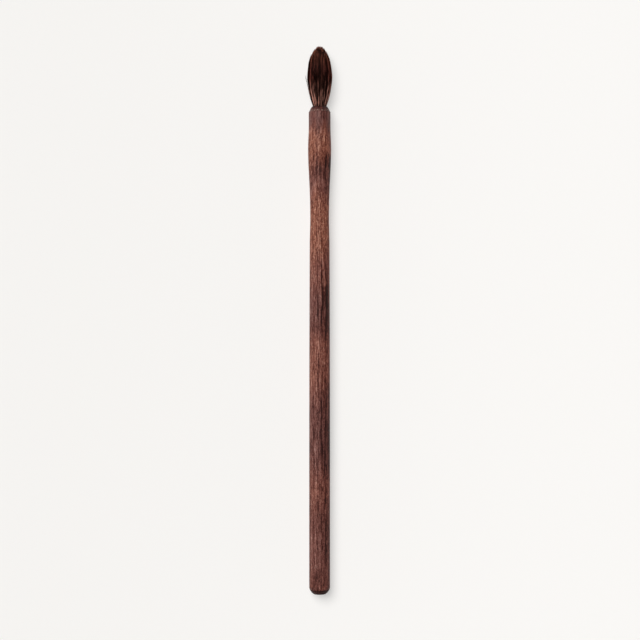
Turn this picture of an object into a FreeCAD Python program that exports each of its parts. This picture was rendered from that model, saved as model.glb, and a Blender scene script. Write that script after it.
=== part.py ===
import FreeCAD, Part
import os

from FreeCAD import Vector

# A calligraphy brush: a turned hardwood handle with a swelling head, and a tuft of hair that is bound
# with thread, seared at its root and glued into a blind hole in the head.
# Millimetres. The brush lies along Y on the plane Z = 0, its hair towards +Y, with its middle over the
# origin. A place along it is stated as its distance from the butt.

total_length = 240.0
handle_length = 213.4  # butt to mouth

# Handle
butt_flat_radius = 2.6
butt_round_length = 2.7
butt_round_rise = 0.32  # how far the rounding stands out from its chord
shank_radius = 4.55
shank_end = 62.0  # the shank is a true cylinder up to here
stem_radius = 4.36
stem_end = 152.0
waist_radius = 4.11
waist_at = 165.0
head_radius = 5.07
head_at = 195.0  # the widest ring of the head, which lies on the table
collar_radius = 4.77
collar_start = 205.0
shoulder_length = 2.3
shoulder_rise = 0.1
edge_round = 0.45  # length that the worn edge of the shoulder takes off both faces
edge_rise = 0.1
rim_radius = 3.38

# Blind hole in the head
socket_radius = 3.0
socket_depth = 12.0
drill_point_length = 1.8

# Root of the tuft, fixed in the hole
glue_radial = 0.35
glue_floor = 0.4
glue_below_mouth = 1.4
seal_thickness = 1.2
root_above_mouth = 0.8
neck_radius = 2.75
core_root_radius = 1.5
core_thread = 0.25
core_turns = 5
core_binding_start = 205.0
mantle_thread = 0.45
mantle_turns = 6
mantle_binding_start = 204.6

# Free tuft, which bends about a point just outside the mouth
pivot_above_mouth = 3.6
ball_radius = 3.45
ball_gap = 0.25
belly_radius = 5.54
belly_at = 226.1
tip_shown = 5.0  # length of core hair that shows past the mantle
core_belly_radius = 2.9

pivot_at = handle_length + pivot_above_mouth
socket_bottom = handle_length - socket_depth
root_radius = socket_radius - glue_radial
root_bottom = socket_bottom + glue_floor
hair_root_start = root_bottom + seal_thickness
core_winding = (core_root_radius, core_thread, core_turns, core_binding_start)
mantle_winding = (root_radius, mantle_thread, mantle_turns, mantle_binding_start)
along = Vector(0, 1, 0)


def place(radius, distance):
    """A point beside the brush's axis, at a distance from the butt."""
    return Vector(radius, distance - total_length / 2, head_radius)


def line(start, end):
    return Part.makeLine(place(*start), place(*end))


def path(*corners):
    """Straight edges through the corners."""
    return [line(a, b) for a, b in zip(corners, corners[1:])]


def bowed(start, end, rise):
    """An arc whose middle stands out from its chord by rise, to the right of its direction."""
    a, b = place(*start), place(*end)
    chord = b - a
    outward = Vector(chord.y, -chord.x, 0).normalize()
    return Part.Arc(a, (a + b) * 0.5 + outward * rise, b).toShape()


def smooth(points, leaving, arriving):
    """A curve through the points, with its direction set at both ends."""
    curve = Part.BSplineCurve()
    curve.interpolate(
        Points=[place(*p) for p in points], InitialTangent=leaving, FinalTangent=arriving
    )
    return curve.toShape()


def ball_arc(radius, to_radius):
    """The underside of a ball at the pivot, from the axis out to a radius."""

    def on_ball(r):
        return (r, pivot_at - (radius**2 - r**2) ** 0.5)

    a, b, c = (place(*on_ball(r)) for r in (0, to_radius * 0.7, to_radius))
    return Part.Arc(a, b, c).toShape()


def turned(edges):
    """The solid that a closed outline makes round the brush's axis."""
    face = Part.Face(Part.Wire(edges))
    return face.revolve(place(0, 0), along, 360)


def sleeve(inner, outer, start, end):
    """A plain tube, or a rod where inner is 0."""
    return turned(path((inner, start), (outer, start), (outer, end), (inner, end), (inner, start)))


def groove(outer, thread, turns, start):
    """The ring of space that a winding takes up."""
    return sleeve(outer - thread, outer, start, start + turns * thread)


def winding(outer, thread, turns, start):
    """Thread wound in close turns that touch each other, flush with the outer radius."""
    middle, inner = outer - thread / 2, outer - thread
    end = start + turns * thread
    edges = path((middle, end), (inner, end), (inner, start), (middle, start))
    for turn in range(turns):
        low = start + turn * thread
        points = [(middle, low), (outer, low + thread / 2), (middle, low + thread)]
        edges.append(Part.Arc(*(place(*p) for p in points)).toShape())
    return turned(edges)


def make_handle():
    shoulder = handle_length - shoulder_length
    edge_from = (collar_radius, shoulder - edge_round)
    edge_to = (collar_radius - edge_round / 2, shoulder + edge_round / 2)
    outside = [
        line((0, 0), (butt_flat_radius, 0)),
        bowed((butt_flat_radius, 0), (shank_radius, butt_round_length), butt_round_rise),
        line((shank_radius, butt_round_length), (shank_radius, shank_end)),
        smooth([(shank_radius, shank_end), (4.5, 105), (stem_radius, stem_end)], along, along),
        smooth([(stem_radius, stem_end), (waist_radius, waist_at)], along, along),
        smooth(
            [(waist_radius, waist_at), (4.4, 178), (4.8, 186), (head_radius, head_at)], along, along
        ),
        smooth([(head_radius, head_at), (collar_radius, collar_start)], along, along),
        line((collar_radius, collar_start), edge_from),
        bowed(edge_from, edge_to, edge_rise),
        bowed(edge_to, (rim_radius, handle_length), shoulder_rise),
    ]
    hole = path(
        (rim_radius, handle_length),
        (socket_radius, handle_length),
        (socket_radius, socket_bottom),
        (0, socket_bottom - drill_point_length),
        (0, 0),
    )
    return turned(outside + hole)


def make_glue():
    top = handle_length - glue_below_mouth
    return turned(
        path(
            (0, socket_bottom - drill_point_length),
            (socket_radius, socket_bottom),
            (socket_radius, top),
            (root_radius, top),
            (root_radius, root_bottom),
            (0, root_bottom),
            (0, socket_bottom - drill_point_length),
        )
    )


def make_roots():
    """The fixed root, core and mantle, with a hollow in its end where the free tuft turns."""
    top = handle_length + root_above_mouth
    bundle = turned(
        path(
            (0, hair_root_start),
            (root_radius, hair_root_start),
            (root_radius, handle_length),
            (neck_radius, top),
            (0, top),
            (0, hair_root_start),
        )
    )
    hollow = Part.makeSphere(ball_radius + ball_gap, place(0, pivot_at))
    core_rod = sleeve(0, core_root_radius, socket_bottom, pivot_at)
    core = bundle.common(core_rod).cut(hollow).cut(groove(*core_winding))
    mantle = bundle.cut(core_rod).cut(hollow).cut(groove(*mantle_winding))
    return core, mantle


def make_tuft():
    """The free hair: one outline, parted into the core and the mantle that wraps it."""
    across = Vector(-1, 0, 0)
    whole = turned(
        [
            ball_arc(ball_radius, ball_radius),
            smooth(
                [
                    (ball_radius, pivot_at),
                    (4.78, 220.9),
                    (belly_radius, belly_at),
                    (4.89, 232.2),
                    (3.78, 235.8),
                    (2.41, 238.4),
                    (0, total_length),
                ],
                along,
                across,
            ),
            line((0, total_length), (0, pivot_at - ball_radius)),
        ]
    )
    below = pivot_at - 2 * ball_radius
    parting_end = (belly_radius, total_length + 2)
    core_blank = turned(
        [
            *path((0, parting_end[1]), (0, below), (core_root_radius, below)),
            line((core_root_radius, below), (core_root_radius, pivot_at)),
            smooth(
                [
                    (core_root_radius, pivot_at),
                    (core_belly_radius, belly_at),
                    (4.05, total_length - tip_shown),
                    parting_end,
                ],
                along,
                along,
            ),
            line(parting_end, (0, parting_end[1])),
        ]
    )
    # The hair lies flat where it meets the table
    reach = total_length
    table = Part.makeBox(2 * reach, 2 * reach, reach, Vector(-reach, -reach, -reach))
    whole = whole.cut(table)
    return whole.common(core_blank), whole.cut(core_blank)


core_root, mantle_root = make_roots()
core_hair, mantle_hair = make_tuft()

pieces = {
    "handle": make_handle(),
    "socket_glue": make_glue(),
    "root_seal": sleeve(0, root_radius, root_bottom, hair_root_start),
    "core_root": core_root,
    "core_binding": winding(*core_winding),
    "mantle_root": mantle_root,
    "mantle_binding": winding(*mantle_winding),
    "core_hair": core_hair,
    "mantle_hair": mantle_hair,
}

os.makedirs("parts", exist_ok=True)
for name, shape in pieces.items():
    shape.exportStep(f"parts/{name}.step")
    box = shape.optimalBoundingBox()
    print(f"{name}: {len(shape.Solids)} solid, {shape.Volume:.2f} mm3, valid {shape.isValid()}, "
          f"x {box.XMax:.3f}, y {box.YMin:.2f} to {box.YMax:.2f}, z {box.ZMin:.3f} to {box.ZMax:.3f}")
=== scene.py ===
import bpy
import numpy as np
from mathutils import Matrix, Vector


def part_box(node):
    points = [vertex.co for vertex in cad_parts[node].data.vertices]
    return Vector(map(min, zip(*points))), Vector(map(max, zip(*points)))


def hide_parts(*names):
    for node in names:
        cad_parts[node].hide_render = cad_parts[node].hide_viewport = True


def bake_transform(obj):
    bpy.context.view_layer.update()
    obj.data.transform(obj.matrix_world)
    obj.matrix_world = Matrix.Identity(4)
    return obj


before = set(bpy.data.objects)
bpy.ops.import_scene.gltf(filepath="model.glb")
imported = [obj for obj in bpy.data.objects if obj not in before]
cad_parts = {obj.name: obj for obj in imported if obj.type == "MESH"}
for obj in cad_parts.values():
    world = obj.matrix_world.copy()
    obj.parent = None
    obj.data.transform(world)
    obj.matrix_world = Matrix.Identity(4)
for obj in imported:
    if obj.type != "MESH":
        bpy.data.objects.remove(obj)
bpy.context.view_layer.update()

print("frame loaded")

# Places along the brush, in metres, worked out from the frame. Settings below are in millimetres.
mm = 0.001
turnRound = 2 * np.pi
handleLow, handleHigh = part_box("handle")
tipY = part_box("core_hair")[1][1]
mouthY = handleHigh[1]
axisZ = (handleLow[2] + handleHigh[2]) / 2
tuftLength = tipY - mouthY


class Sock:
    # One output socket. Expressions on it add Math nodes.
    def __init__(self, shader, out):
        self.shader, self.out = shader, out

    def math(self, operation, *others):
        values = dict(enumerate((self, *others)))
        return self.shader.node("ShaderNodeMath", {"operation": operation}, values)

    def __add__(self, other):
        return self.math("ADD", other)

    def __sub__(self, other):
        return self.math("SUBTRACT", other)

    def __rsub__(self, other):
        return self.shader.node("ShaderNodeMath", {"operation": "SUBTRACT"}, {0: other, 1: self})

    def __mul__(self, other):
        return self.math("MULTIPLY", other)

    def __pow__(self, other):
        return self.math("POWER", other)

    __radd__, __rmul__ = __add__, __mul__

    def band(self, low, high):
        # 0 below low and 1 above high, smooth between; where low is the greater, 1 below high and 0
        # above low
        values = {0: self, 1: low, 2: high} if low < high else {0: self, 1: high, 2: low, 3: 1.0, 4: 0.0}
        return self.shader.node("ShaderNodeMapRange", {"interpolation_type": "SMOOTHSTEP"}, values)

    def part(self, name):
        # x, y or z of a vector
        return self.shader.node("ShaderNodeSeparateXYZ", {}, {0: self}, name.upper())


class Shader:
    # One material and the ways to add nodes to it
    def __init__(self, name):
        self.material = bpy.data.materials.new(name)
        self.material.use_nodes = True
        self.tree = self.material.node_tree
        self.bsdf = self.tree.nodes["Principled BSDF"]

    def node(self, kind, settings, values, output=0):
        made = self.tree.nodes.new(kind)
        for key, value in settings.items():
            if key == "stops":
                ramp = made.color_ramp
                while len(ramp.elements) < len(value):
                    ramp.elements.new(0.5)
                for element, (place, colour) in zip(ramp.elements, value):
                    element.position = place
                    element.color = (*colour, 1)
            else:
                setattr(made, key, value)
        for key, value in values.items():
            self.feed(made.inputs[key], value)
        return Sock(self, made.outputs[output])

    def feed(self, target, value):
        # a link, a colour, or a plain number or vector into one input socket
        if isinstance(value, Sock):
            self.tree.links.new(value.out, target)
        elif isinstance(value, tuple) and len(target.default_value) == 4:
            target.default_value = (*value, 1)
        else:
            target.default_value = value

    def place(self):
        # x, y and z from the middle of the brush's axis, in millimetres
        point = self.node("ShaderNodeTexCoord", {}, {}, "Object")
        return self.node("ShaderNodeMapping", {}, {0: point, 1: (0, 0, -axisZ / mm), 3: (1 / mm,) * 3})

    def stretch(self, point, sizes, shift=(0, 0, 0)):
        return self.node("ShaderNodeMapping", {}, {0: point, 1: shift, 3: sizes})

    def noise(self, point, scale=1.0, detail=2.0, roughness=0.5, warp=0.0):
        values = {"Vector": point, "Scale": scale, "Detail": detail, "Roughness": roughness}
        return self.node("ShaderNodeTexNoise", {}, {**values, "Distortion": warp})

    def ramp(self, value, stops):
        return self.node("ShaderNodeValToRGB", {"stops": stops}, {0: value})

    def mix(self, amount, a, b, kind="MIX"):
        settings = {"data_type": "RGBA", "blend_type": kind}
        return self.node("ShaderNodeMix", settings, {0: amount, 6: a, 7: b}, 2)

    def bump(self, height, strength, distance):
        values = {"Height": height, "Strength": strength, "Distance": distance}
        return self.node("ShaderNodeBump", {}, values)

    def finish(self, **sockets):
        for name, value in sockets.items():
            self.feed(self.bsdf.inputs[name.replace("_", " ")], value)
        return self.material


def paint(node, material):
    # A CAD node keeps its mesh and takes the material on every slot
    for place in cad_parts[node].material_slots:
        place.material = material


# Handle: turned dark hardwood
wood = {
    # from the darkest grain line to the palest curl
    "stops": [(0.0, (0.022, 0.0050, 0.0038)), (0.28, (0.082, 0.0205, 0.0145)),
              (0.55, (0.195, 0.067, 0.049)), (0.78, (0.300, 0.123, 0.092)),
              (1.0, (0.470, 0.250, 0.195))],
    "pore": (0.018, 0.0058, 0.0046),
    # painted highlight on the edge of the shoulder
    "edgeHighlightColour": (0.42, 0.27, 0.22),
    "ringWidth": 1.9,  # between growth rings, which run nearly upright through the stick
    # place along the stick, reach and amount of the warmest, greyest, darkest and most lined stretches
    "warmPatches": [(75.0, 8.5, 1.0), (41.0, 15.0, 1.0), (-18.0, 15.0, 0.25), (-78.0, 9.0, 0.15)],
    "coolPatches": [(90.0, 6.0, 1.0), (62.0, 6.0, 0.5), (4.0, 11.0, 0.8), (-50.0, 19.0, 0.9),
                    (-98.0, 22.0, 0.6)],
    "shadePatches": [(67.5, 4.5, 0.55), (3.0, 11.0, 0.40), (-48.0, 22.0, 0.55), (-86.0, 17.0, 0.30)],
    "linePatches": [(8.0, 18.0, 1.0), (-48.0, 17.0, 0.8), (67.0, 6.0, 0.9), (-96.0, 12.0, 0.5)],
    "poreDepth": 0.03 * mm,
}


def patches(along, rows):
    # the sum of soft bumps along the stick: amount where along is at place, none beyond its reach
    return sum((along - place).math("ABSOLUTE").band(reach * 1.3, reach * 0.3) * amount
               for place, reach, amount in rows)


def makeWood():
    s = Shader("dark_oiled_hardwood")
    point = s.place()
    along, across = point.part("y"), point.part("x")
    # The stick's rings: sheets across x that wander slowly along the stick and curl a little
    wander = s.noise(s.stretch(point, (0.13, 0.022, 0.13)), 1.0, 2.0, 0.5) - 0.5
    curly = s.noise(s.stretch(point, (0.50, 0.10, 0.50), (3, 1, 7)), 1.0, 3.0, 0.55, 0.5) - 0.5
    sheet = (across - 1.0) * (1 / wood["ringWidth"]) + wander * 1.5 + curly * 0.95
    ring = (sheet * turnRound).math("COSINE") * 0.5 + 0.5
    lined = patches(along, wood["linePatches"]) * across.band(-2.5, 1.5)
    dark = ring ** 2.4 * (lined * 0.75 + 0.25)
    # Lines within a ring, long fibres, and the broken curly flecks that cross them at a slant
    lines = ((sheet * 3.1 + curly * 1.2) * turnRound).math("SINE") * 0.5 + 0.5
    fibre = s.noise(s.stretch(point, (3.1, 0.13, 3.1)), 1.0, 3.0, 0.62, 0.3) - 0.5
    slant = s.node("ShaderNodeMapping", {}, {0: point, 2: (0, 0, 0.34), 3: (2.3, 0.58, 1.5)})
    curl = s.noise(slant, 1.0, 3.0, 0.62, 0.8) - 0.5
    speckle = s.noise(s.stretch(point, (2.9, 1.5, 2.9), (5, 0, 2)), 1.0, 2.0, 0.6) - 0.5
    # The patches have ragged ends
    ragged = along + (s.noise(s.stretch(point, (0.35, 0.06, 0.35), (4, 9, 1)), 1.0, 2.0) - 0.5) * 16
    warm, cool = patches(ragged, wood["warmPatches"]), patches(ragged, wood["coolPatches"])
    # Darker stretches of the wood, painted stronger towards the right, the side away from the light:
    # there they are partly painted shade
    shade = patches(ragged, wood["shadePatches"]) * (across.band(-3.5, 2.0) * 0.65 + 0.35)
    # Pores: dark dashes that follow the fibres
    pore = s.noise(s.stretch(point, (5.0, 0.62, 5.0), (1, 8, 3)), 1.0, 1.0, 0.4).band(0.60, 0.68)
    # The grain's cut ends, at the butt and on the shoulder, are painted darker: partly end grain that
    # has drunk more oil, partly painted shade where the butt faces away from the light and the tuft
    # shades the shoulder up to the mouth
    endGrainAndShade = along.band(-117.5, -118.4) * 1.6 + along.band(90.6, 91.6) * 0.9
    endGrainAndShade = endGrainAndShade + along.band(92.4, 93.2) * 0.7
    butt = along.band(-104.0, -114.0)
    # Painted shade: the right of the handle, the side away from the light, is painted darker here and
    # redder below
    paintedShadeRight = across.band(-1.0, 4.0)
    # Painted highlight: the edge of the shoulder is painted pale in patches, where its rounded edge
    # catches the light
    edge = (along - 91.6).math("ABSOLUTE").band(0.55, 0.15)
    edgeHighlight = edge * (speckle * 5.0 + fibre * 6.0 + 0.2).band(0.35, 0.8)

    plain = along.band(80.0, 88.0)  # the head's end is quieter than the rest
    figure = fibre * (1.9 - warm * 0.5) + curl * (1.05 + warm * 0.75) + speckle * 0.75
    tone = 0.61 - paintedShadeRight * 0.11 - dark * 0.52 - lines * 0.08 + figure * (1.0 - plain * 0.4)
    tone = tone + warm * 0.11 - shade * 0.30 - endGrainAndShade * 0.30 - butt * 0.10
    colour = s.ramp(tone, wood["stops"])
    colour = s.mix(warm * 0.7, colour, (1.10, 1.0, 0.82), "MULTIPLY")
    colour = s.mix(cool * 0.8, colour, (0.82, 0.98, 1.16), "MULTIPLY")
    # painted shade: the right side is painted redder
    colour = s.mix(across.band(0.5, 4.5), colour, (1.02, 0.90, 0.86), "MULTIPLY")
    colour = s.mix(pore * 0.7, colour, wood["pore"])
    colour = s.mix(edgeHighlight * 0.55, colour, wood["edgeHighlightColour"])
    # Handling has left the butt and the stem duller than the head
    headward = along.band(60.0, 90.0)
    rough = 0.60 - headward * 0.16 + speckle * 0.5 + pore * 0.2
    relief = fibre * 0.4 + curl * 0.3 + speckle * 0.3 - pore * 0.8
    normal = s.bump(relief, 0.7, wood["poreDepth"])
    wax = {"Specular_IOR_Level": 0.13, "Sheen_Weight": 0.09, "Sheen_Roughness": 0.25,
           "Sheen_Tint": (1.0, 0.76, 0.70)}
    return s.finish(Base_Color=colour, Roughness=rough, Normal=normal, **wax)


paint("handle", makeWood())
print("wood made")


# The hidden and half-hidden pieces of the root
def makeThread():
    s = Shader("hemp_thread")
    point = s.place()
    twist = s.node("ShaderNodeTexWave", {"wave_type": "BANDS", "bands_direction": "DIAGONAL"},
                   {"Vector": point, "Scale": 2.6, "Distortion": 1.2, "Detail": 2.0}, 1)
    fuzz = s.noise(point, 7.0, 3.0, 0.6)
    colour = s.ramp(twist * 0.6 + fuzz * 0.4, [(0.15, (0.30, 0.22, 0.13)), (0.85, (0.66, 0.55, 0.38))])
    normal = s.bump(twist + fuzz * 0.5, 0.6, 0.05 * mm)
    return s.finish(Base_Color=colour, Roughness=0.8, Normal=normal)


def makeGlue():
    s = Shader("dried_glue")
    cloud = s.noise(s.place(), 0.8, 3.0, 0.6)
    colour = s.ramp(cloud, [(0.3, (0.20, 0.085, 0.025)), (0.7, (0.42, 0.22, 0.08))])
    normal = s.bump(cloud, 0.3, 0.1 * mm)
    return s.finish(Base_Color=colour, Roughness=cloud * 0.2 + 0.15, Normal=normal)


def makeResin():
    s = Shader("seared_resin")
    crust = s.noise(s.place(), 3.0, 4.0, 0.7)
    colour = s.ramp(crust, [(0.35, (0.006, 0.004, 0.003)), (0.7, (0.05, 0.026, 0.014))])
    normal = s.bump(crust, 0.8, 0.12 * mm)
    return s.finish(Base_Color=colour, Roughness=crust * 0.4 + 0.35, Normal=normal)


def makeBoundHair():
    s = Shader("bound_hair")
    hairs = s.noise(s.stretch(s.place(), (9.0, 0.2, 9.0)), 1.0, 3.0, 0.7)
    colour = s.ramp(hairs, [(0.3, (0.010, 0.004, 0.003)), (0.7, (0.085, 0.040, 0.028))])
    return s.finish(Base_Color=colour, Roughness=0.5, Normal=s.bump(hairs, 0.9, 0.06 * mm))


threadMaterial, boundHair = makeThread(), makeBoundHair()
for node, material in {
    "socket_glue": makeGlue(),
    "root_seal": makeResin(),
    "core_root": boundHair,
    "mantle_root": boundHair,
    "core_binding": threadMaterial,
    "mantle_binding": threadMaterial,
}.items():
    paint(node, material)
print("root made")


tuft = {
    "seed": 118,
    # radius and distance from the mouth, in mm: the outside of the whole tuft
    "outline": [(2.72, -0.6), (3.22, 0.9), (3.95, 3.1), (4.95, 7.5), (5.52, 12.7), (4.93, 18.8),
                (3.80, 22.4), (2.41, 25.0), (1.45, 26.1), (0.0, 26.6)],
    # the same for the outermost hairs, which lean in less than the tip is round
    "lean": [(2.72, -0.6), (3.22, 0.9), (3.95, 3.1), (4.95, 7.5), (5.52, 12.7), (4.98, 18.8),
             (4.36, 22.4), (3.75, 26.6)],
    "hairStart": -0.6,  # where the hair begins, just inside the mouth
    "locks": 34,
    "strandsPerLock": 2,
    "hairsPerLock": 64,
    "strandTone": 0.42,  # how far a strand's tone may be from its lock's
    "glint": 0.30,  # painted glints: how much a strand's tone rises and falls along it
    "topPaintedShade": 0.22,  # painted shade: how much darker the uppermost locks are painted than those on the flanks
    "glintHairs": 0.06,  # share of hairs painted pale: painted glints on single hairs
    "coreHairs": 2600,
    "coreBundles": 150,
    "strays": 26,
    "leftStrays": 7,  # of them, the small group on the left of the belly
    "hairWidth": 0.105,
    "strayWidth": 0.075,
    "bedAround": 240,
    "bedRows": 64,
    "bedShort": 0.75,  # how far short of the tip the bed ends
    "tableGap": 0.05,
    "tableEase": 0.12,  # height over which the hair eases into lying flat
    "bendLength": 9.0,  # from the mouth to where the tuft turns whole
}


def alongCurve(points, distances):
    # radius at each distance: a cubic through the (radius, distance) points that doesn't overshoot them
    radius, distance = np.array(points, float).T
    slope = np.diff(radius) / np.diff(distance)
    before, after = slope[:-1], slope[1:]
    middle = np.where(before * after > 0, 2 * before * after / (before + after + 1e-12), 0)
    tangent = np.concatenate([[slope[0]], middle, [slope[-1]]])
    i = np.clip(np.searchsorted(distance, distances) - 1, 0, len(slope) - 1)
    gap = np.diff(distance)[i]
    t = np.clip((distances - distance[i]) / gap, 0, 1)
    return ((2 * t**3 - 3 * t**2 + 1) * radius[i] + (t**3 - 2 * t**2 + t) * gap * tangent[i]
            + (3 * t**2 - 2 * t**3) * radius[i + 1] + (t**3 - t**2) * gap * tangent[i + 1])


def onTable(z):
    # heights in mm pressed up off the table: z where it is clear, easing into the gap below that
    gap, ease = tuft["tableGap"], tuft["tableEase"]
    return gap + ease * np.logaddexp(0, (z - gap) / ease)


def toFrame(radius, angle, distance):
    # radius and angle about the axis and distance from the mouth, all in mm, to metres in the frame
    x = radius * np.sin(angle)
    z = onTable(axisZ / mm + radius * np.cos(angle))
    return np.stack([x * mm, mouthY + distance * mm, z * mm], -1)


def makeMesh(name, points, faces, uv=None):
    mesh = bpy.data.meshes.new(name)
    mesh.from_pydata(points.reshape(-1, 3), [], faces)
    if uv is not None:
        mesh.uv_layers.new(name="OFBake").data.foreach_set("uv", uv.ravel())
    mesh.polygons.foreach_set("use_smooth", np.full(len(mesh.polygons), True))
    mesh.update()
    piece = bpy.data.objects.new(name, mesh)
    bpy.context.scene.collection.objects.link(piece)
    return piece


def hairMesh(name, radius, angle, distance, thick, tone):
    # Each row is one hair: a three-sided tube round the path (radius, angle, distance), thick mm across,
    # closed by a triangle at both ends. U is the hair's tone there and V the place along the tuft.
    hairs, rings = radius.shape
    sides = 3
    turn = np.arange(sides) * turnRound / sides
    middle, half = radius[..., None], thick[..., None] / 2
    sideAngle = angle[..., None] + half * np.sin(turn) / np.maximum(middle, 0.2)
    points = toFrame(middle + half * np.cos(turn), sideAngle, np.repeat(distance[..., None], sides, -1))
    first = np.arange(hairs)[:, None, None] * rings * sides
    ring = np.arange(rings - 1)[None, :, None] * sides
    side = np.arange(sides)[None, None, :]
    after = (side + 1) % sides
    low = first + ring
    quads = np.stack([low + side, low + sides + side, low + sides + after, low + after], -1)
    start, corner = np.arange(hairs)[:, None] * rings * sides, np.arange(sides)
    caps = np.concatenate([start + corner, start + (rings - 1) * sides + corner[::-1]])
    # each side of a hair has its own narrow strip of the UV map, at the hair's tone
    strip = 1 / 60
    u = (tone * (1 - strip))[..., None] + np.arange(sides + 1) / sides * strip
    v = (distance / (tuftLength / mm) * 0.96 + 0.02)[..., None] + 0 * u
    near, far = slice(None, -1), slice(1, None)
    corners = [(near, near), (far, near), (far, far), (near, far)]
    quadUv = np.stack([np.stack([u[:, r, c], v[:, r, c]], -1) for r, c in corners], -2).reshape(-1, 2)
    capU = np.concatenate([u[:, 0, :1], u[:, -1, :1]]) + np.array([0, 0.5, 1]) * strip
    capV = np.concatenate([v[:, 0, :1], v[:, -1, :1]]) + np.array([0, 0.004, 0])
    capUv = np.stack([capU, capV], -1).reshape(-1, 2)
    faces = quads.reshape(-1, 4).tolist() + caps.tolist()
    return makeMesh(name, points, faces, np.clip(np.concatenate([quadUv, capUv]), 0, 1))


def endDistance(share):
    # where a hair at this share of the lean curve's radius comes out of the tuft's rounded end
    grid = np.linspace(12.7, 26.6, 400)  # from the belly to the tip
    outside = alongCurve(tuft["outline"], grid)
    inside = share[:, None] * alongCurve(tuft["lean"], grid)[None, :]
    return grid[np.argmax(inside > outside[None, :] + 1e-9, axis=1)]


def taper(t, tipLength, length):
    # a hair's thickness along it: full, then down to a point over tipLength mm
    return np.clip((1 - t) * length[:, None] / tipLength, 0.12, 1) ** 0.7


def makeMantle():
    # Locks of hair: each leaves the mouth as a narrow band, spreads over the belly and draws together
    # again at its end. A lock is a few strands side by side, each with a rounded back, its own height
    # and its own tone, so that dark grooves part it from the next.
    rng = np.random.default_rng(tuft["seed"])
    locks, per, split = tuft["locks"], tuft["hairsPerLock"], tuft["strandsPerLock"]
    lock = np.repeat(np.arange(locks), per)
    count = lock.size
    strand = lock * split + rng.integers(0, split, count)
    strands = locks * split
    pitch = turnRound / locks
    centre = (np.arange(locks) + rng.uniform(-0.22, 0.22, locks)) * pitch
    # light and dark locks by turns
    light, dark = rng.uniform(0.5, 1.0, locks), rng.uniform(0.0, 0.42, locks)
    lockTone = np.where(np.arange(locks) % 2, light, dark)
    topPaintedShade = tuft["topPaintedShade"] * np.clip(np.cos(centre) - 0.55, 0, 0.35) / 0.35
    lockRaise = rng.uniform(-0.040, 0.012, locks)
    lockBend, lockPhase = rng.normal(0, 0.05, locks), rng.uniform(0, 6.28, locks)
    strandTone = rng.uniform(-1, 1, strands) * tuft["strandTone"]
    strandRaise = rng.uniform(-0.050, 0.010, strands)
    strandBend, strandPhase = rng.normal(0, 0.035, strands), rng.uniform(0, 6.28, strands)
    strandWave = rng.uniform(0.7, 1.7, strands)
    own = rng.uniform(-0.5, 0.5, count)
    across = ((strand % split + 0.5 + own * 0.84) / split - 0.5) * 1.06
    depth = rng.uniform(0, 1, count) ** 1.8
    # share of the outside radius: less at a lock's and a strand's sides, and for hairs that lie deeper
    share = 1 + lockRaise[lock] + strandRaise[strand] - 0.035 * (2 * across) ** 2 - 0.03 * (2 * own) ** 2
    share = share - 0.09 * depth
    end = endDistance(np.clip(share, 0.3, 1)) + rng.normal(0, 0.35, count)
    end = end - 1.2 * rng.uniform(0, 1, count) ** 3
    rings = 14
    t = np.linspace(0, 1, rings)[None, :] ** 0.92
    distance = tuft["hairStart"] + t * (end[:, None] - tuft["hairStart"])
    radius = share[:, None] * alongCurve(tuft["lean"], distance)
    gather = np.interp(distance, [-0.6, 3, 12, 20, 24], [0.72, 0.86, 1.0, 0.82, 0.5])
    # locks, strands and single hairs each wander a little from side to side
    phase = strandPhase[strand][:, None]
    wave = 0.018 * np.sin(distance * 0.55 + lockPhase[lock][:, None]) * np.clip(distance / 8, 0, 1)
    wave = wave + 0.022 * np.sin(distance * 0.42 + phase) * np.clip(distance / 5, 0, 1)
    swing, pace, start = (rng.normal(0, 0.010, (count, 1)), rng.uniform(0.5, 1.1, (count, 1)),
                          rng.uniform(0, 6.28, (count, 1)))
    sway = swing * np.sin(distance * pace + start)
    bend = (lockBend[lock] + strandBend[strand])[:, None] * np.clip(distance / 20, 0, 1) ** 2
    angle = centre[lock][:, None] + across[:, None] * pitch * gather + wave + sway + bend
    thick = tuft["hairWidth"] * rng.uniform(0.75, 1.15, (count, 1)) * taper(t, 3.0, end)
    # painted shade: hairs that lie deeper are painted darker
    tone = lockTone[lock] + strandTone[strand] + rng.normal(0, 0.10, count) - 0.25 * depth
    # painted glints: a few hairs are painted pale
    tone = tone + 0.45 * (rng.uniform(0, 1, count) < tuft["glintHairs"])
    # painted glints along each strand
    glint = tuft["glint"] * np.sin(distance * strandWave[strand][:, None] + phase * 3)
    # painted shade on the uppermost locks, fading out towards the mouth and the tip
    shade = topPaintedShade[lock][:, None] * np.interp(distance, [2.5, 8, 19, 23], [0, 1, 1, 0])
    tone = np.clip(tone[:, None] + glint - shade, 0, 1)
    return hairMesh("mantle_locks", radius, angle, distance, thick, tone)


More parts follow.
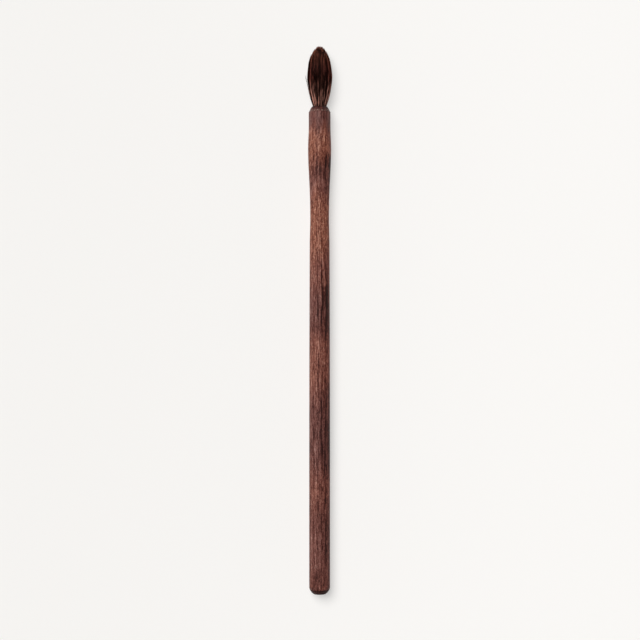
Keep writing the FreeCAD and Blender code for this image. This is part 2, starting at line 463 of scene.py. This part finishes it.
def makeCore():
    # The inner hairs come out of the tuft's rounded end all over it, in small bundles
    rng = np.random.default_rng(tuft["seed"] + 1)
    count, bundles = tuft["coreHairs"], tuft["coreBundles"]
    bundleShare = np.sqrt(rng.uniform(0, 1, bundles)) * 0.94
    bundleAngle, bundleTone = rng.uniform(0, 6.28, bundles), rng.uniform(0, 1, bundles)
    bundle = rng.integers(0, bundles, count)
    share = np.clip(bundleShare[bundle] + rng.normal(0, 0.045, count), 0.01, 0.97)
    angle0 = bundleAngle[bundle] + rng.normal(0, 0.05, count) / np.maximum(share, 0.12)
    end = endDistance(share) + rng.normal(0, 0.12, count) - 0.9 * rng.uniform(0, 1, count) ** 3
    rings = 8
    t = np.linspace(0, 1, rings)[None, :]
    length = rng.uniform(5.0, 7.5, count)
    distance = end[:, None] - (1 - t) * length[:, None]
    radius = share[:, None] * alongCurve(tuft["lean"], distance)
    angle = angle0[:, None] + rng.normal(0, 0.05, (count, 1)) * t**2
    thick = tuft["hairWidth"] * rng.uniform(0.7, 1.1, (count, 1)) * taper(t, 2.0, length)
    tone = np.clip(bundleTone[bundle] + rng.normal(0, 0.10, count), 0, 1)
    return hairMesh("core_tips", radius, angle, distance, thick, tone[:, None] + 0 * t)


def makeBed():
    # The mass of hair under the locks: the outline turned round the axis, a little in, with grooves
    around, rows, low, short = (tuft[k] for k in ("bedAround", "bedRows", "hairStart", "bedShort"))
    angle = np.arange(around) * turnRound / around
    distance = low + (tuftLength / mm - low - short) * (1 - (1 - np.linspace(0, 1, rows)) ** 1.6)
    outline = alongCurve(tuft["outline"], distance + short * np.clip((distance - 10) / 16, 0, 1))
    groove = 0.012 * np.sin(angle * 61 + 1.3 * np.sin(angle * 7)) + 0.014 * np.sin(angle * 34)
    radius = (outline[:, None] * (0.90 + groove[None, :]) - 0.02).clip(0.0)
    radius[-1] = 0.0
    body = toFrame(radius[1:-1], angle + 0 * radius[1:-1], np.repeat(distance[1:-1, None], around, 1))
    ends = toFrame(np.zeros(2), np.zeros(2), distance[[1, -1]])
    points = np.concatenate([body.reshape(-1, 3), ends])
    rows -= 2
    row, col = np.arange(rows - 1)[:, None] * around, np.arange(around)[None, :]
    after = (col + 1) % around
    quads = np.stack([row + col, row + around + col, row + around + after, row + after], -1)
    root, tip = rows * around, rows * around + 1
    last = (rows - 1) * around
    col, after = col[0], after[0]
    fans = [(root, c, a) for c, a in zip(col.tolist(), after.tolist())]
    fans += [(tip, last + a, last + c) for c, a in zip(col.tolist(), after.tolist())]
    return makeMesh("hair_bed", points, quads.reshape(-1, 4).tolist() + fans)


def makeStrays():
    # A few hairs that have left their lock at 3 mm from the mouth and stand off the belly
    rng = np.random.default_rng(tuft["seed"] + 3)
    count, left, rings = tuft["strays"], tuft["leftStrays"], 14
    t = np.linspace(0, 1, rings)[None, :]
    angle0 = rng.uniform(0, 6.28, count)
    angle0[:left] = rng.normal(-1.45, 0.12, left)
    end = rng.uniform(14.5, 23.0, count)
    end[:left] = rng.uniform(13.2, 15.4, left)
    distance = 3.0 + t * (end[:, None] - 3.0)
    lift = rng.uniform(0.1, 0.45, count)
    lift[:left] = rng.uniform(0.5, 0.95, left)
    radius = alongCurve(tuft["outline"], distance) * 0.985 + lift[:, None] * t**3
    angle = angle0[:, None] + rng.normal(0, 0.05, (count, 1)) * t
    thick = tuft["strayWidth"] * taper(t, 3.0, end)
    tone = rng.uniform(0.2, 0.7, (count, 1)) + 0 * t
    return hairMesh("stray_hairs", radius, angle, distance, thick, tone)


hairLook = {
    "bellyDark": (0.0062, 0.0010, 0.0007), "bellyLight": (0.150, 0.042, 0.031),
    "rootDark": (0.0110, 0.0026, 0.0017), "rootLight": (0.71, 0.34, 0.26),
    "tipDark": (0.0180, 0.0045, 0.0030), "tipLight": (0.330, 0.110, 0.070),
    "rim": (0.85, 0.38, 0.26),  # light caught by the hairs seen nearly edge on
}


def makeHair():
    # U is the hair's own tone, V its place from mouth to tip
    s = Shader("dark_brown_hair")
    uv = s.node("ShaderNodeUVMap", {"uv_map": "OFBake"}, {})
    tone, along = uv.part("x"), uv.part("y")
    belly = s.mix(tone ** 3.0, hairLook["bellyDark"], hairLook["bellyLight"])
    root = s.mix(tone ** 2.2, hairLook["rootDark"], hairLook["rootLight"])
    tip = s.mix(tone ** 2.0, hairLook["tipDark"], hairLook["tipLight"])
    colour = s.mix(along.band(0.48, 0.08), belly, root)
    colour = s.mix(along.band(0.60, 0.90), colour, tip)
    fuzz = {"Sheen_Weight": 0.05, "Sheen_Roughness": 0.4, "Sheen_Tint": hairLook["rim"]}
    return s.finish(Base_Color=colour, Roughness=0.42, Specular_IOR_Level=0.02, **fuzz)


def makeBedHair():
    s = Shader("packed_hair")
    point = s.place()
    hairs = s.noise(s.stretch(point, (8.0, 0.25, 8.0)), 1.0, 3.0, 0.7)
    colour = s.ramp(hairs, [(0.3, (0.004, 0.0010, 0.0007)), (0.75, (0.022, 0.0062, 0.0042))])
    normal = s.bump(hairs, 0.8, 0.05 * mm)
    return s.finish(Base_Color=colour, Roughness=0.6, Normal=normal, Specular_IOR_Level=0.03)


hairMaterial, bedMaterial = makeHair(), makeBedHair()
bed, mantle, core, strays = makeBed(), makeMantle(), makeCore(), makeStrays()
bed.data.materials.append(bedMaterial)
for piece in (mantle, core, strays):
    piece.data.materials.append(hairMaterial)
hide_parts("mantle_hair")
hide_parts("core_hair")
for piece in (bed, mantle, core, strays):
    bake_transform(piece)
print("tuft made:", [len(p.data.polygons) for p in (bed, mantle, core, strays)])


studio = {
    "floor": (0.440, 0.433, 0.423),
    "floorGlow": (0.490, 0.486, 0.477),  # a light table: the ground is also lit from behind
    "floorGlowRight": (0.527, 0.523, 0.515),
    "flatTo": 1.5, "floorRadius": 3.2, "rimHeight": 0.8,
    "keyAngle": 40.0,  # degrees across, as seen from the brush: a very large soft box
    "keyHeight": 60.5,  # degrees above the table
    "keyTurn": 56.0,  # degrees from straight left towards the tuft's end
    "keyStrength": 3.15,
    "keyColour": (1.0, 0.99, 0.98),
    "roomStrength": 0.05,
    "cameraHeight": 0.75,
    "cameraShiftX": 0.00017,
    "viewWidth": 0.2804,
    "sensor": 36.0,
}


def makeFloor():
    # A round table top, flat to flatTo and then turned up in a smooth step, so no far edge is seen
    spokes, rings = 96, 40
    flat, edge = studio["flatTo"], studio["floorRadius"]
    reach = np.concatenate([[0.02, 0.2, 0.7], np.linspace(flat, edge, rings - 3)])
    climb = np.clip((reach - flat) / (edge - flat), 0, 1)
    height = studio["rimHeight"] * climb**2 * (3 - 2 * climb)
    turn = np.arange(spokes) * turnRound / spokes
    points = np.stack([reach[:, None] * np.cos(turn), reach[:, None] * np.sin(turn),
                       height[:, None] + 0 * turn], -1).reshape(-1, 3)
    ring, spoke = np.arange(rings - 1)[:, None] * spokes, np.arange(spokes)[None, :]
    after = (spoke + 1) % spokes
    quads = np.stack([ring + spoke, ring + spokes + spoke, ring + spokes + after, ring + after], -1)
    floor = makeMesh("floor", points, quads.reshape(-1, 4).tolist() + [tuple(range(spokes))])
    s = Shader("pale_paper")
    point = s.place()
    grain = s.noise(point, 1.4, 2.0, 0.5)
    colour = s.mix(grain, studio["floor"], tuple(0.985 * c for c in studio["floor"]))
    glow = s.mix(point.part("x").band(-140.0, 140.0), studio["floorGlow"], studio["floorGlowRight"])
    looks = {"Base_Color": colour, "Roughness": 0.8, "Specular_IOR_Level": 0.1}
    floor.data.materials.append(s.finish(Emission_Color=glow, Emission_Strength=1.0, **looks))


def makeKey():
    # one very wide soft light from the left and the tuft's end, far off, so it falls evenly on the table
    lamp = bpy.data.lights.new("key", "SUN")
    lamp.energy, lamp.color = studio["keyStrength"], studio["keyColour"]
    lamp.angle = np.radians(studio["keyAngle"])
    height, turn = np.radians(studio["keyHeight"]), np.radians(studio["keyTurn"])
    key = bpy.data.objects.new("key", lamp)
    toBrush = Vector((np.cos(height) * np.cos(turn), -np.cos(height) * np.sin(turn), -np.sin(height)))
    key.rotation_euler = toBrush.to_track_quat("-Z", "Y").to_euler()
    key.location = -toBrush
    bpy.context.scene.collection.objects.link(key)


def makeCamera():
    camera = bpy.data.objects.new("camera", bpy.data.cameras.new("camera"))
    camera.data.sensor_width = studio["sensor"]
    camera.data.lens = studio["sensor"] * studio["cameraHeight"] / studio["viewWidth"]
    camera.data.clip_start = 0.01
    camera.location = (studio["cameraShiftX"], 0, studio["cameraHeight"] + axisZ)
    bpy.context.scene.collection.objects.link(camera)
    bpy.context.scene.camera = camera


makeFloor()
makeKey()
world = bpy.data.worlds.new("room")
world.use_nodes = True
world.node_tree.nodes["Background"].inputs["Color"].default_value = (1, 1, 1, 1)
world.node_tree.nodes["Background"].inputs["Strength"].default_value = studio["roomStrength"]
bpy.context.scene.world = world
bpy.context.scene.view_settings.view_transform = "Standard"
makeCamera()
print("stage made")
